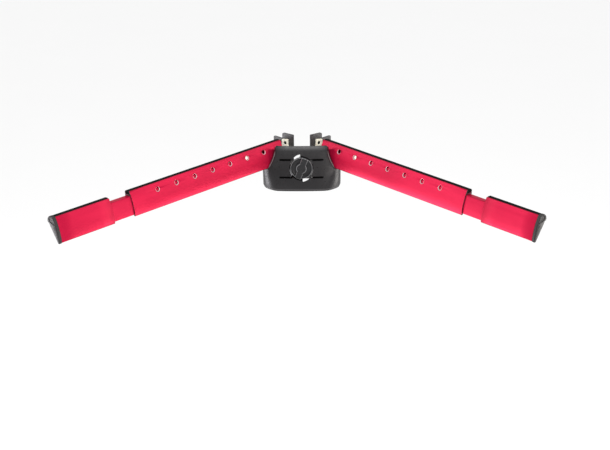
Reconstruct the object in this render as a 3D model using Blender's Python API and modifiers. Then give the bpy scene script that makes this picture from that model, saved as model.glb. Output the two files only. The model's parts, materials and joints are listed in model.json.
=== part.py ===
"""Column keyboard-stand tier: a moulded column bracket carrying two telescoping blade arms.

Metres, +Z up. The origin is the middle of the flat seat that bears on the column, +Y points from
the bracket towards the column, +X runs across both arms, and the arms reach forward along -Y.
"""

import math

import bmesh
import bpy
from mathutils import Matrix, Vector

MM = 0.001

# ---- driving dimensions (millimetres where named in the tables, metres everywhere else) ----
ARM_ANGLE = math.radians(51.14)      # each arm turned forward of the X axis
ARM_ROOT = Vector((0.0, 22.0, 48.0)) * MM   # where both hole lines meet, behind the bracket
HOLE_PITCH = 38.1 * MM
HOLE_FIRST = 91.6 * MM
HOLE_COUNT = 7
HOLE_R = 3.3 * MM
TUBE_START = 47.6 * MM
TUBE_END = 371.3 * MM
SLIDE_START = 150.0 * MM
SLIDE_END = 498.0 * MM
TIP_START = 409.4 * MM               # one hole pitch of slide shows at rest
TIP_END = 505.7 * MM
CAP_T = 5.0 * MM
WALL = 1.5 * MM
SLIDE_GAP = 0.3 * MM
SLIDE_WALL = 1.4 * MM
STRIP_BORE_R = 1.2 * MM

SHELL_T = 3.0 * MM
KNOB_Z = 22.4 * MM                   # height of the clamp axis above the seat middle
KNOB_R = 17.4 * MM
OPENING_X = 18.6 * MM                # half width of the oval round the knob
OPENING_Z = 21.2 * MM                # half height of the same oval
RIM_R = 18.5 * MM                    # its radius where it closes in on the knob
STUD_R = 3.0 * MM
BAR_TILT = math.radians(70.0)        # grip bar's lean from the X axis at rest
SEAT_T = 4.0 * MM

# Arm section, millimetres: u towards the inside of the V, v up, (0, 0) on the hole axis.
NEAR_FACE = [(-4.8, 8.4), (-4.0, 6.4), (-2.7, 3.3), (-1.4, 0.3), (-0.2, -2.9), (1.0, -6.5),
             (2.1, -10.2), (3.1, -14.0), (3.95, -18.0), (4.55, -21.5), (4.85, -24.2)]
BOTTOM = [(4.7, -25.6), (4.0, -26.5), (2.9, -26.6), (2.0, -26.0)]
FAR_FACE = [(-0.6, -22.0), (-7.2, -11.5), (-12.9, -2.4), (-14.2, 0.2), (-14.6, 2.4)]
RAIL = [(-14.6, 4.4), (-13.5, 4.4), (-13.3, 3.3), (-4.6, 3.3), (-6.3, 8.5), (-5.6, 8.8)]
BODY_TOP = 3.3

MATERIALS = {
    "red_anodised": ((0.70, 0.012, 0.045), 0.34, 0.55),
    "black_rubber": ((0.012, 0.012, 0.013), 0.78, 0.0),
    "grey_plastic": ((0.060, 0.058, 0.060), 0.48, 0.0),
    "cap_plastic": ((0.075, 0.072, 0.074), 0.52, 0.0),
    "knob_plastic": ((0.035, 0.035, 0.037), 0.42, 0.0),
    "cream_nylon": ((0.86, 0.82, 0.70), 0.45, 0.0),
    "zinc_steel": ((0.55, 0.56, 0.58), 0.35, 1.0),
    "black_steel": ((0.03, 0.03, 0.032), 0.40, 1.0),
}


# ---- scene, collections, materials ----
for old in list(bpy.data.objects):
    bpy.data.objects.remove(old, do_unlink=True)
for old in list(bpy.data.collections):
    bpy.data.collections.remove(old)

PARTS = bpy.data.collections.new("keyboard_stand_tier")
CUTTERS = bpy.data.collections.new("cutters")
bpy.context.scene.collection.children.link(PARTS)
bpy.context.scene.collection.children.link(CUTTERS)


def material(node, kind):
    colour, rough, metal = MATERIALS[kind]
    mat = bpy.data.materials.new(node + "_" + kind)
    mat.use_nodes = True
    shader = mat.node_tree.nodes["Principled BSDF"]
    shader.inputs["Base Color"].default_value = (*colour, 1.0)
    shader.inputs["Roughness"].default_value = rough
    shader.inputs["Metallic"].default_value = metal
    mat.diffuse_color = (*colour, 1.0)
    return mat


# ---- helpers ----
def settle(mesh, weld=1e-6):
    """Weld coincident vertices and turn every face outward."""
    bm = bmesh.new()
    bm.from_mesh(mesh)
    bmesh.ops.remove_doubles(bm, verts=bm.verts, dist=weld)
    bmesh.ops.recalc_face_normals(bm, faces=bm.faces)
    bm.to_mesh(mesh)
    bm.free()
    return mesh


def add(name, mesh, kind=None, pivot=None, smooth=None):
    """Put a finished mesh in the scene as a part, or as a cutter when it has no material."""
    obj = bpy.data.objects.new(name, mesh)
    if pivot is not None:
        mesh.transform(Matrix.Translation(-Vector(pivot)))
        obj.location = Vector(pivot)
    if kind is None:
        CUTTERS.objects.link(obj)
        obj.hide_render = True
        obj.display_type = "WIRE"
    else:
        PARTS.objects.link(obj)
        mesh.materials.clear()
        mesh.materials.append(material(name, kind))
        if smooth is not None:
            mesh.shade_smooth()
            mesh.set_sharp_from_angle(angle=math.radians(smooth))
    return obj


def cut(obj, *cutters):
    for cutter in cutters:
        mod = obj.modifiers.new(cutter.name, "BOOLEAN")
        mod.operation = "DIFFERENCE"
        mod.solver = "EXACT"
        mod.object = cutter
    return obj


def join(obj, *others):
    for other in others:
        mod = obj.modifiers.new(other.name, "BOOLEAN")
        mod.operation = "UNION"
        mod.solver = "EXACT"
        mod.object = other
    return obj


def section_mesh(loops, depth):
    """A filled 2-D curve, one closed spline per loop, extruded by depth along +Z from zero."""
    curve = bpy.data.curves.new("section", "CURVE")
    curve.dimensions = "2D"
    curve.fill_mode = "BOTH"
    curve.extrude = depth / 2
    for loop in loops:
        spline = curve.splines.new("POLY")
        spline.points.add(len(loop) - 1)
        for point, (x, y) in zip(spline.points, loop):
            point.co = (x, y, 0.0, 1.0)
        spline.use_cyclic_u = True
    holder = bpy.data.objects.new("section", curve)
    bpy.context.scene.collection.objects.link(holder)
    bpy.context.view_layer.update()
    evaluated = holder.evaluated_get(bpy.context.evaluated_depsgraph_get())
    mesh = bpy.data.meshes.new_from_object(evaluated)
    bpy.data.objects.remove(holder, do_unlink=True)
    bpy.data.curves.remove(curve)
    mesh.transform(Matrix.Translation((0.0, 0.0, depth / 2)))
    return settle(mesh)


def arm_frame(side):
    """Matrix from section space (u, v, s) to the part's frame; side is -1 left, +1 right."""
    along = Vector((side * math.cos(ARM_ANGLE), -math.sin(ARM_ANGLE), 0.0))
    inward = Vector((-side * math.sin(ARM_ANGLE), -math.cos(ARM_ANGLE), 0.0))
    frame = Matrix.Identity(4)
    frame.col[0] = (*inward, 0.0)
    frame.col[1] = (0.0, 0.0, 1.0, 0.0)
    frame.col[2] = (*along, 0.0)
    frame.translation = ARM_ROOT
    return frame


def arm_point(side, s, u, v):
    return arm_frame(side) @ Vector((u, v, s))


def arm_prism(loops, s0, s1, side):
    """Extrude section loops along one arm from s0 to s1."""
    mesh = section_mesh(loops, s1 - s0)
    mesh.transform(arm_frame(side) @ Matrix.Translation((0.0, 0.0, s0)))
    return settle(mesh)


def box_mesh(low, high):
    bm = bmesh.new()
    bmesh.ops.create_cube(bm, size=1.0)
    low, high = Vector(low), Vector(high)
    size = high - low
    bmesh.ops.transform(bm, verts=bm.verts, matrix=Matrix.Translation((low + high) / 2)
                        @ Matrix.Diagonal((*size, 1.0)))
    mesh = bpy.data.meshes.new("box")
    bm.to_mesh(mesh)
    bm.free()
    return mesh


def cone_mesh(p0, p1, r0, r1, segments=24):
    """Closed round bar from p0 to p1."""
    p0, p1 = Vector(p0), Vector(p1)
    axis = p1 - p0
    bm = bmesh.new()
    bmesh.ops.create_cone(bm, cap_ends=True, segments=segments, radius1=r0, radius2=r1,
                          depth=axis.length)
    turn = axis.to_track_quat("Z", "Y").to_matrix().to_4x4()
    bmesh.ops.transform(bm, verts=bm.verts, matrix=Matrix.Translation((p0 + p1) / 2) @ turn)
    mesh = bpy.data.meshes.new("cone")
    bm.to_mesh(mesh)
    bm.free()
    return settle(mesh)


def turned_mesh(profile, origin, axis, segments=32):
    """Revolve (radius, height) points about axis through origin with a Screw modifier."""
    mesh = bpy.data.meshes.new("turned")
    points = [(r, 0.0, h) for r, h in profile]
    edges = [(i, (i + 1) % len(points)) for i in range(len(points))]
    if profile[0][0] == 0.0 and profile[-1][0] == 0.0:
        edges = edges[:-1]
    mesh.from_pydata(points, edges, [])
    holder = bpy.data.objects.new("turned", mesh)
    bpy.context.scene.collection.objects.link(holder)
    mod = holder.modifiers.new("turn", "SCREW")
    mod.axis = "Z"
    mod.steps = segments
    mod.render_steps = segments
    mod.use_merge_vertices = True
    mod.merge_threshold = 0.00001
    bpy.context.view_layer.update()
    evaluated = holder.evaluated_get(bpy.context.evaluated_depsgraph_get())
    solid = bpy.data.meshes.new_from_object(evaluated)
    bpy.data.objects.remove(holder, do_unlink=True)
    turn = Vector(axis).to_track_quat("Z", "Y").to_matrix().to_4x4()
    solid.transform(Matrix.Translation(Vector(origin)) @ turn)
    return settle(solid)


def merged(*meshes):
    """One mesh from several that do not touch, such as a set of cutters."""
    bm = bmesh.new()
    for mesh in meshes:
        bm.from_mesh(mesh)
    out = bpy.data.meshes.new("merged")
    bm.to_mesh(out)
    bm.free()
    return out


def mm_loop(points):
    return [(x * MM, y * MM) for x, y in points]


def inset(loop, distance):
    """Shrink a closed convex loop: clip it by each of its edges moved inward by distance."""
    count = len(loop)
    area = sum(loop[i][0] * loop[(i + 1) % count][1] - loop[(i + 1) % count][0] * loop[i][1]
               for i in range(count))
    turn = 1.0 if area > 0 else -1.0
    out = [Vector(p) for p in loop]
    for i in range(count):
        a, b = Vector(loop[i]), Vector(loop[(i + 1) % count])
        d = (b - a).normalized()
        n = Vector((-d.y, d.x)) * turn
        depth = [(p - a).dot(n) - distance for p in out]
        kept = []
        for j, p in enumerate(out):
            q, dp, dq = out[(j + 1) % len(out)], depth[j], depth[(j + 1) % len(out)]
            if dp >= 0:
                kept.append(p)
            if (dp >= 0) != (dq >= 0):
                kept.append(p + (q - p) * (dp / (dp - dq)))
        out = kept
    clean = [p for j, p in enumerate(out) if (p - out[j - 1]).length > 0.05 * MM]
    return [(p.x, p.y) for p in clean]


# ---- arm sections ----
OUTLINE = mm_loop(NEAR_FACE + BOTTOM + FAR_FACE + RAIL)
BLADE = mm_loop([p for p in NEAR_FACE if p[1] <= BODY_TOP] + [(4.1, -26.2), (2.2, -26.3)]
                + FAR_FACE[:-1] + [(-14.5, BODY_TOP)])
CAVITY = inset(BLADE, WALL)
SLIDE_OUT = inset(BLADE, WALL + SLIDE_GAP)
SLIDE_IN = inset(BLADE, WALL + SLIDE_GAP + SLIDE_WALL)
PLUG_IN_TUBE = inset(BLADE, WALL + 0.3 * MM)
PLUG_IN_SLIDE = inset(BLADE, WALL + SLIDE_GAP + SLIDE_WALL + 0.3 * MM)
# The strip fills the rail and stands just proud of the metal on top.
STRIP = mm_loop([(-5.15, 3.7), (-6.5, 7.6), (-6.9, 8.7), (-8.4, 9.25), (-11.9, 9.25),
                 (-13.7, 8.6), (-14.6, 7.4), (-14.6, 4.75), (-13.2, 4.65), (-12.95, 3.7)])
STRIP_BORE = [(-9.7 * MM + STRIP_BORE_R * math.cos(a), 6.2 * MM + STRIP_BORE_R * math.sin(a))
              for a in (2 * math.pi * i / 10 for i in range(10))]
# Root block: a pad on the end plate, and the part of the tube's plug that stays below the shield.
PAD = mm_loop([(-17.2, 3.5), (-16.6, 4.0), (-5.7, 5.4), (-5.1, 5.0), (-5.1, -5.0), (3.9, -17.0),
               (3.9, -24.0), (-5.0, -24.0), (-17.2, -9.0)])
NECK = inset([p for p in PLUG_IN_TUBE if p[1] < -9.0 * MM], 0.4 * MM)
# End cap: follows the tube with a round lobe over the end of the strip.
CAP = mm_loop([(-5.2, 9.2), (-4.4, 8.4), (-3.5, 6.5), (-2.2, 3.4), (-0.9, 0.4), (0.3, -2.8),
               (1.5, -6.4), (2.6, -10.1), (3.6, -13.9), (4.45, -17.9), (5.05, -21.4),
               (5.35, -24.2), (5.1, -26.0), (4.2, -27.0), (2.8, -27.1), (1.7, -26.3),
               (-1.1, -22.0), (-7.7, -11.4), (-12.4, -3.9), (-13.7, -1.0), (-15.6, -0.4),
               (-16.7, 1.4), (-16.8, 3.8), (-15.9, 6.4), (-13.9, 8.6), (-11.5, 9.7)])

for side, tag in ((-1, "left"), (1, "right")):
    mouth = arm_point(side, TUBE_END, -4.0 * MM, -10.0 * MM)

    tube = add("outer_tube_" + tag, arm_prism([OUTLINE, CAVITY], TUBE_START, TUBE_END, side),
               "red_anodised", arm_point(side, TUBE_START, 0, 0), 40)
    holes = []
    for i in range(HOLE_COUNT):
        s = HOLE_FIRST + i * HOLE_PITCH
        holes.append(cone_mesh(arm_point(side, s, 8 * MM, 0), arm_point(side, s, -4.5 * MM, 0),
                               HOLE_R, HOLE_R, 16))
    cut(tube, add("cut_holes_" + tag, merged(*holes)))

    add("outer_strip_" + tag, arm_prism([STRIP, STRIP_BORE], TUBE_START, TUBE_END, side),
        "black_rubber", arm_point(side, TUBE_START, 0, 0), 50)

    add("inner_slide_" + tag, arm_prism([SLIDE_OUT, SLIDE_IN], SLIDE_START, SLIDE_END, side),
        "red_anodised", mouth, 40)
    add("end_section_" + tag, arm_prism([OUTLINE, CAVITY], TIP_START, TIP_END, side),
        "red_anodised", mouth, 40)
    add("end_strip_" + tag, arm_prism([STRIP, STRIP_BORE], TIP_START, TIP_END - 0.3 * MM, side),
        "black_rubber", mouth, 50)

    cap = add("end_cap_" + tag, arm_prism([CAP], TIP_END + 0.1 * MM, TIP_END + CAP_T, side),
              "cap_plastic", mouth, 35)
    join(cap, add("cap_plug_" + tag, arm_prism([PLUG_IN_TUBE], SLIDE_END + 0.6 * MM,
                                               TIP_END + 2 * MM, side)))

    # White nylon guide plugged into the hidden end of the slide, seen through the second hole.
    guide = add("slide_guide_" + tag, arm_prism([PLUG_IN_TUBE], SLIDE_START - 28 * MM,
                                                SLIDE_START - 0.2 * MM, side),
                "cream_nylon", mouth, 40)
    join(guide, add("guide_spigot_" + tag, arm_prism([PLUG_IN_SLIDE], SLIDE_START - 2 * MM,
                                                     SLIDE_START + 16 * MM, side)))

    # Root block: nylon plug in the tube, with a pad screwed to the end plate of the bracket.
    pad_s, eye = 30.4 * MM, (-10.2 * MM, -1.3 * MM)
    block = add("root_block_" + tag, arm_prism([PAD], 27.7 * MM, pad_s, side), "cream_nylon",
                arm_point(side, pad_s, 0, 0), 40)
    join(block, add("block_neck_" + tag, arm_prism([NECK], 29.0 * MM, 52 * MM, side)),
         add("block_spigot_" + tag, arm_prism([PLUG_IN_TUBE], 48.2 * MM, 74 * MM, side)))
    bore = cone_mesh(arm_point(side, 20 * MM, *eye), arm_point(side, 36 * MM, *eye),
                     1.7 * MM, 1.7 * MM, 20)
    sink = cone_mesh(arm_point(side, 28.8 * MM, *eye), arm_point(side, 36 * MM, *eye),
                     2.7 * MM, 2.7 * MM, 24)
    cut(block, add("cut_block_bore_" + tag, bore), add("cut_block_sink_" + tag, sink))

    # Root screw: hexagon-socket head sunk in the pad, shank through the end plate.
    start = arm_point(side, 28.9 * MM, *eye)
    along = arm_point(side, 1, 0, 0) - arm_point(side, 0, 0, 0)
    screw = add("root_screw_" + tag, turned_mesh([
        (0.0, 1.2 * MM), (2.2 * MM, 1.2 * MM), (2.4 * MM, 0.9 * MM), (2.4 * MM, 0.0),
        (1.45 * MM, 0.0), (1.45 * MM, -3.9 * MM), (1.1 * MM, -4.3 * MM), (0.0, -4.3 * MM)],
        start, along, 20), "black_steel", start, 40)
    cut(screw, add("cut_screw_socket_" + tag,
                   cone_mesh(start + along * 0.4 * MM, start + along * 3 * MM,
                             1.3 * MM, 1.3 * MM, 6)))


# ---- bracket: front shell ----
# Half outlines in plan (X, Y) at a height Z, front middle first, side rear last; millimetres.
LEVELS = [
    (-13.6, [(0, -57.2), (14, -57.0), (28, -56.4), (37.6, -55.4), (42.4, -53.6), (49.4, -47.8),
             (54.0, -42.8), (56.2, -37.5), (56.6, -29.0), (56.6, -20)]),
    (-12.4, [(0, -58.0), (14, -57.8), (28, -57.1), (38.2, -56.0), (43.6, -54.1), (51.0, -47.9),
             (56.2, -42.3), (58.4, -37.1), (58.8, -29.0), (58.8, -20)]),
    (-8.0, [(0, -58.3), (14, -58.1), (28, -57.4), (39.2, -56.1), (45.2, -53.9), (52.6, -47.7),
            (58.0, -41.7), (60.4, -36.9), (60.8, -29.0), (60.8, -20)]),
    (-2.0, [(0, -58.2), (14, -58.0), (29, -57.2), (40.4, -55.7), (46.8, -53.4), (54.0, -47.5),
            (58.8, -41.8), (60.6, -37.0), (60.9, -29.0), (60.9, -20)]),
    (8.0, [(0, -57.2), (15, -57.0), (30, -56.2), (42, -54.6), (49.2, -52.4), (55.6, -47.4),
           (59.7, -42.0), (60.8, -37.0), (60.8, -29.0), (60.8, -20.0)]),
    (20.6, [(0, -55.0), (15, -54.8), (30, -54.1), (44, -53.0), (52.0, -51.8), (57.2, -48.0),
            (60.0, -43.0), (61.0, -38.0), (61.0, -29.0), (61.0, -20.0)]),
    (27.0, [(0, -53.2), (15, -53.0), (29, -52.4), (41, -51.4), (47.2, -50.2), (49.6, -47.6),
            (50.3, -44.0), (50.4, -38.0), (50.4, -29.0), (50.4, -20.0)]),
    (38.0, [(0, -50.0), (14, -49.8), (27, -49.2), (37, -48.2), (42.2, -46.8), (44.2, -44.2),
            (44.8, -41.0), (44.9, -36.0), (44.9, -28.0), (44.9, -18.0)]),
    (48.0, [(0, -46.4), (14, -46.2), (26, -45.6), (35.4, -44.6), (40.0, -43.2), (41.9, -40.8),
            (42.5, -38.0), (42.6, -33.0), (42.6, -26.0), (42.6, -16.0)]),
    (54.4, [(0, -43.8), (14, -43.6), (25, -43.0), (34.4, -42.0), (38.8, -40.6), (40.8, -38.4),
            (41.5, -36.0), (41.6, -31.0), (41.6, -24.0), (41.6, -14.0)]),
    (55.6, [(0, -42.6), (14, -42.4), (25, -41.8), (34.0, -40.8), (38.2, -39.5), (40.0, -37.6),
            (40.7, -35.4), (40.8, -31.0), (40.8, -24.0), (40.8, -14.0)]),
]


def shell_mesh():
    """Open skin of the front and sides from the level table, to be thickened inward."""
    bm = bmesh.new()
    rows = []
    for z, half in LEVELS:
        full = [(-x, y) for x, y in reversed(half[1:])] + list(half)
        rows.append([bm.verts.new((x * MM, y * MM, z * MM)) for x, y in full])
    for low, high in zip(rows, rows[1:]):
        for i in range(len(low) - 1):
            bm.faces.new((low[i], low[i + 1], high[i + 1], high[i]))
    mesh = bpy.data.meshes.new("shell")
    bm.to_mesh(mesh)
    bm.free()
    return mesh


def smooth_skin():
    """The skin thickened by Solidify into a closed wall."""
    skin = bpy.data.objects.new("skin", shell_mesh())
    bpy.context.scene.collection.objects.link(skin)
    mod = skin.modifiers.new("wall", "SOLIDIFY")
    mod.thickness = SHELL_T
    mod.offset = -1.0
    mod.use_even_offset = True
    mod.use_rim = True
    bpy.context.view_layer.update()
    evaluated = skin.evaluated_get(bpy.context.evaluated_depsgraph_get())
    mesh = bpy.data.meshes.new_from_object(evaluated)
    bpy.data.objects.remove(skin, do_unlink=True)
    return settle(mesh)


shell = add("front_shell", smooth_skin(), "grey_plastic", (0, 0, 0), 35)

# Everything outside the arm's inner face and above its underside is cut away.
CLEAR = [(-7.6, 17.0), (-3.85, 8.0), (-3.1, 6.2), (-1.9, 3.3), (-0.6, 0.3), (0.6, -2.9),
         (1.8, -6.5), (2.9, -10.2), (3.9, -14.0), (4.75, -18.0), (5.35, -21.5), (5.6, -24.4),
         (5.3, -26.4), (4.2, -27.3), (-60.0, -27.3), (-60.0, 17.0)]
for side, tag in ((-1, "left"), (1, "right")):
    cut(shell, add("cut_shell_arm_" + tag,
                   arm_prism([mm_loop(CLEAR)], 5 * MM, 130 * MM, side)))

# Behind the top edge the sides slope down to the rear.
HORNS = [(-39.4, 62.0), (-39.4, 53.8), (-14.0, 34.0), (4.0, 34.0), (4.0, 62.0)]
horns = section_mesh([mm_loop(HORNS)], 150 * MM)
horns.transform(Matrix(((0, 0, 1, -75 * MM), (1, 0, 0, 0), (0, 1, 0, 0), (0, 0, 0, 1))))
cut(shell, add("cut_horns", settle(horns)))

# The opening is an oval, but keeps to a circle round the knob in two sectors.
FACE_ON = Matrix(((1, 0, 0, 0), (0, 0, 1, 0), (0, 1, 0, 0), (0, 0, 0, 1)))
RIM = []
for step in range(96):
    a = 2 * math.pi * (step + 0.37) / 96
    reach = 1 / math.hypot(math.cos(a) / OPENING_X, math.sin(a) / OPENING_Z)
    if 48 < math.degrees(a) % 180 < 94:
        reach = min(reach, RIM_R)
    RIM.append((reach * math.cos(a), reach * math.sin(a)))
oval = section_mesh([RIM], 35 * MM)
oval.transform(Matrix.Translation((0, -70 * MM, KNOB_Z)) @ FACE_ON)
cut(shell, add("cut_oval", settle(oval)))

# Hub ring and its two spokes carry the clamp stud behind the knob.
SPOKE = (KNOB_Z - 3.5 * MM, KNOB_Z + 3.5 * MM)
join(shell,
     add("shell_spokes", box_mesh((-30 * MM, -46.4 * MM, SPOKE[0]),
                                  (30 * MM, -42.4 * MM, SPOKE[1]))),
     add("shell_hub", cone_mesh((0, -46.9 * MM, KNOB_Z), (0, -39.5 * MM, KNOB_Z), 7.5 * MM,
                                7.5 * MM, 28)),
     add("shell_side_webs", merged(*[
         box_mesh((x - 2 * MM, -52.2 * MM, SPOKE[0] - 0.5 * MM),
                  (x + 2 * MM, -43.0 * MM, SPOKE[1] + 0.5 * MM)) for x in (-28.2 * MM, 28.2 * MM)])))
# A slanting bridge behind the knob, in line with its grip bar at rest, closes two parts of the gap.
BRIDGE = [(-1.6, 0.0), (-1.6, 25.0), (18.0, 19.0), (13.0, 11.0), (9.0, 0.0),
          (1.6, 0.0), (1.6, -25.0), (-18.0, -19.0), (-13.0, -11.0), (-9.0, 0.0)]
bridge = [section_mesh([mm_loop(BRIDGE[:5])], 3.6 * MM), section_mesh([mm_loop(BRIDGE[5:])], 3.6 * MM)]
for mesh in bridge:
    mesh.transform(Matrix.Translation((0, -46.3 * MM, KNOB_Z)) @ FACE_ON)
    settle(mesh)
join(shell, add("shell_bridge_upper", bridge[0]), add("shell_bridge_lower", bridge[1]))
cut(shell, add("cut_stud_hole", cone_mesh((0, -60 * MM, KNOB_Z), (0, -30 * MM, KNOB_Z),
                                           STUD_R + 0.2 * MM, STUD_R + 0.2 * MM, 24)))

# Screw bosses on the inside of the front wall.
EAR_Y = -27.0 * MM
BOSSES = [(x * MM, z * MM) for x in (-31.0, 31.0) for z in (9.4, -5.0)]
join(shell, add("shell_bosses", merged(*[
    cone_mesh((x, (-53.4 if z > 0 else -55.4) * MM, z), (x, EAR_Y - 0.2 * MM, z),
              3.6 * MM, 3.6 * MM, 20) for x, z in BOSSES])))
cut(shell, add("cut_boss_bores", merged(*[
    cone_mesh((x, -43.0 * MM, z), (x, EAR_Y + 6 * MM, z), 1.4 * MM, 1.4 * MM, 16)
    for x, z in BOSSES])))

# Two blind grooves on each side of the knob, backed by ribs inside the wall.
RIBS, GROOVES = [], []
for z, y_rib, y_back, y_floor in ((35.2, -48.2, -44.4, -45.6), (8.6, -54.6, -50.4, -51.8)):
    for x0, x1 in ((-35.0, -17.0), (17.0, 35.0)):
        RIBS.append(box_mesh((x0 * MM, y_rib * MM, (z - 3.0) * MM),
                             (x1 * MM, y_back * MM, (z + 2.2) * MM)))
    for x0, x1 in ((-34.4, -14.2), (14.2, 34.4)):
        GROOVES.append(box_mesh((x0 * MM, -75 * MM, (z - 1.5) * MM),
                                (x1 * MM, y_floor * MM, (z + 1.5) * MM)))
join(shell, add("shell_ribs", merged(*RIBS)))
cut(shell, add("cut_grooves", merged(*GROOVES)))


# ---- bracket: rear saddle ----
def plate(side, s0, s1, outline):
    """Plate square to one arm: outline in (u, z) millimetres from the hole line."""
    return arm_prism([mm_loop(outline)], s0 * MM, s1 * MM, side)


SEAT = [(-14.0, -10.0), (14.0, -10.0), (14.0, 20.6), (6.4, 20.6), (6.4, 8.6), (-6.4, 8.6),
        (-6.4, 20.6), (-14.0, 20.6)]
seat_mesh = section_mesh([mm_loop(SEAT)], SEAT_T)
seat_mesh.transform(Matrix.Rotation(math.radians(90.0), 4, "X"))
seat_clear = add("cut_seat_clear", box_mesh((-13.7 * MM, -0.4 * MM, -30 * MM),
                                            (13.7 * MM, 14 * MM, 24 * MM)))
saddle = add("rear_saddle", settle(seat_mesh), "grey_plastic", (0, 0, 0), 35)
for side, tag in ((-1, "left"), (1, "right")):
    tall = plate(side, 24.8, 27.4, [
        (-18.6, -58.4), (6.4, -58.4), (6.4, -40), (3.9, -32), (3.9, 11.0), (1.3, 13.4),
        (-15.8, 13.4), (-18.6, 10.4), (-18.6, 4.2), (-31.8, 5.2), (-33.8, 4.7), (-36.6, 1.2),
        (-36.6, -26.0), (-18.6, -34.0)])
    far = plate(side, 25.5, 62.0, [(-20.7, -50.0), (-17.8, -50.0), (-17.8, 2.6), (-20.7, 2.6)])
    floor = plate(side, 25.9, 64.0, [(-19.2, -30.6), (7.4, -30.6), (7.4, -27.5),
                                     (-19.2, -27.5)])
    x0, x1 = sorted((side * 25.5 * MM, side * 36.5 * MM))
    ear = box_mesh((x0, EAR_Y, -10.0 * MM), (x1, EAR_Y + 3.2 * MM, 19.0 * MM))
    join(saddle, cut(add("saddle_tall_" + tag, tall), seat_clear), add("saddle_far_" + tag, far),
         add("saddle_floor_" + tag, floor), add("saddle_ear_" + tag, ear))
    cut(saddle, add("cut_root_screw_" + tag,
                    cone_mesh(arm_point(side, 20 * MM, -10.2 * MM, -1.3 * MM),
                              arm_point(side, 31 * MM, -10.2 * MM, -1.3 * MM),
                              1.6 * MM, 1.6 * MM, 16)))
cut(saddle, add("cut_ear_holes", merged(*[
    cone_mesh((x, EAR_Y - 3 * MM, z), (x, EAR_Y + 8 * MM, z), 1.8 * MM, 1.8 * MM, 16)
    for x, z in BOSSES])))

for i, (x, z) in enumerate(BOSSES):
    tag = ("upper" if z > 0 else "lower") + ("_left" if x < 0 else "_right")
    seat = Vector((x, EAR_Y + 3.3 * MM, z))
    screw = add("shell_screw_" + tag, turned_mesh([
        (0.0, 2.1 * MM), (1.7 * MM, 2.0 * MM), (2.7 * MM, 1.2 * MM), (2.9 * MM, 0.0),
        (1.25 * MM, 0.0), (1.25 * MM, -11.0 * MM), (0.3 * MM, -12.2 * MM), (0.0, -12.3 * MM)],
        seat, (0, 1, 0), 18), "zinc_steel", seat, 40)
    cross = merged(box_mesh(seat + Vector((-1.5, 1.0, -0.35)) * MM,
                            seat + Vector((1.5, 3.0, 0.35)) * MM))
    cut(screw, add("cut_cross_h_" + tag, cross),
        add("cut_cross_v_" + tag, box_mesh(seat + Vector((-0.35, 1.0, -1.5)) * MM,
                                           seat + Vector((0.35, 3.0, 1.5)) * MM)))


# ---- clamp: knob, stud, washer, clamp bar ----
AXIS = Vector((0.0, -48.0 * MM, KNOB_Z))
knob = add("knob", turned_mesh([
    (STUD_R + 0.15 * MM, -0.6 * MM), (8.0 * MM, -0.6 * MM), (8.0 * MM, 0.4 * MM),
    (16.4 * MM, 0.4 * MM), (KNOB_R, 1.2 * MM), (KNOB_R, 4.2 * MM), (16.9 * MM, 4.7 * MM),
    (15.9 * MM, 4.7 * MM), (15.3 * MM, 3.0 * MM), (9.0 * MM, 2.6 * MM),
    (STUD_R + 0.15 * MM, 2.6 * MM)], AXIS, (0, -1, 0), 48), "knob_plastic", AXIS, 35)
bar = box_mesh((-17.2 * MM, -7.2 * MM, -5.2 * MM), (17.2 * MM, -2.0 * MM, 5.2 * MM))
bar.transform(Matrix.Translation(AXIS) @ Matrix.Rotation(-BAR_TILT, 4, "Y"))
hub = cone_mesh(AXIS + Vector((0, -2.0 * MM, 0)), AXIS + Vector((0, -7.8 * MM, 0)), 8.3 * MM,
                7.9 * MM, 36)
join(knob, add("knob_bar", bar), add("knob_hub", hub))

add("clamp_stud", turned_mesh([
    (0.0, 1.2 * MM), (STUD_R - 0.4 * MM, 1.2 * MM), (STUD_R, 0.8 * MM),
    (STUD_R, -57.8 * MM), (STUD_R - 0.7 * MM, -58.6 * MM), (0.0, -58.6 * MM)],
    AXIS, (0, -1, 0), 24), "zinc_steel", AXIS, 40)
add("stud_washer", turned_mesh([
    (STUD_R + 0.15 * MM, -10.2 * MM), (6.4 * MM, -10.2 * MM), (6.4 * MM, -8.8 * MM),
    (STUD_R + 0.15 * MM, -8.8 * MM)], AXIS, (0, -1, 0), 28), "zinc_steel", AXIS, 40)

# Clamp bar: a plate behind the column's channel lips, its threaded neck running in the seat slot.
clamp = add("clamp_bar", box_mesh((-9.5 * MM, 2.6 * MM, -9.0 * MM),
                                  (9.5 * MM, 6.2 * MM, KNOB_Z - 1.6 * MM)),
            "zinc_steel", (0, 2.6 * MM, KNOB_Z), 35)
join(clamp, add("clamp_neck", box_mesh((-4.6 * MM, -3.2 * MM, KNOB_Z - 8.0 * MM),
                                       (4.6 * MM, 4.0 * MM, KNOB_Z))),
     add("clamp_boss", cone_mesh((0, -3.4 * MM, KNOB_Z), (0, 5.9 * MM, KNOB_Z),
                                 4.75 * MM, 4.75 * MM, 32)))
cut(clamp, add("cut_clamp_thread", cone_mesh((0, -10 * MM, KNOB_Z), (0, 14 * MM, KNOB_Z),
                                             STUD_R + 0.08 * MM, STUD_R + 0.08 * MM, 24)))
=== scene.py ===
"""Finished look of the keyboard-stand tier, built over the CAD frame. Metres, +Z up."""
import json
import math

import bmesh
import bpy
from mathutils import Matrix, Vector

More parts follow.
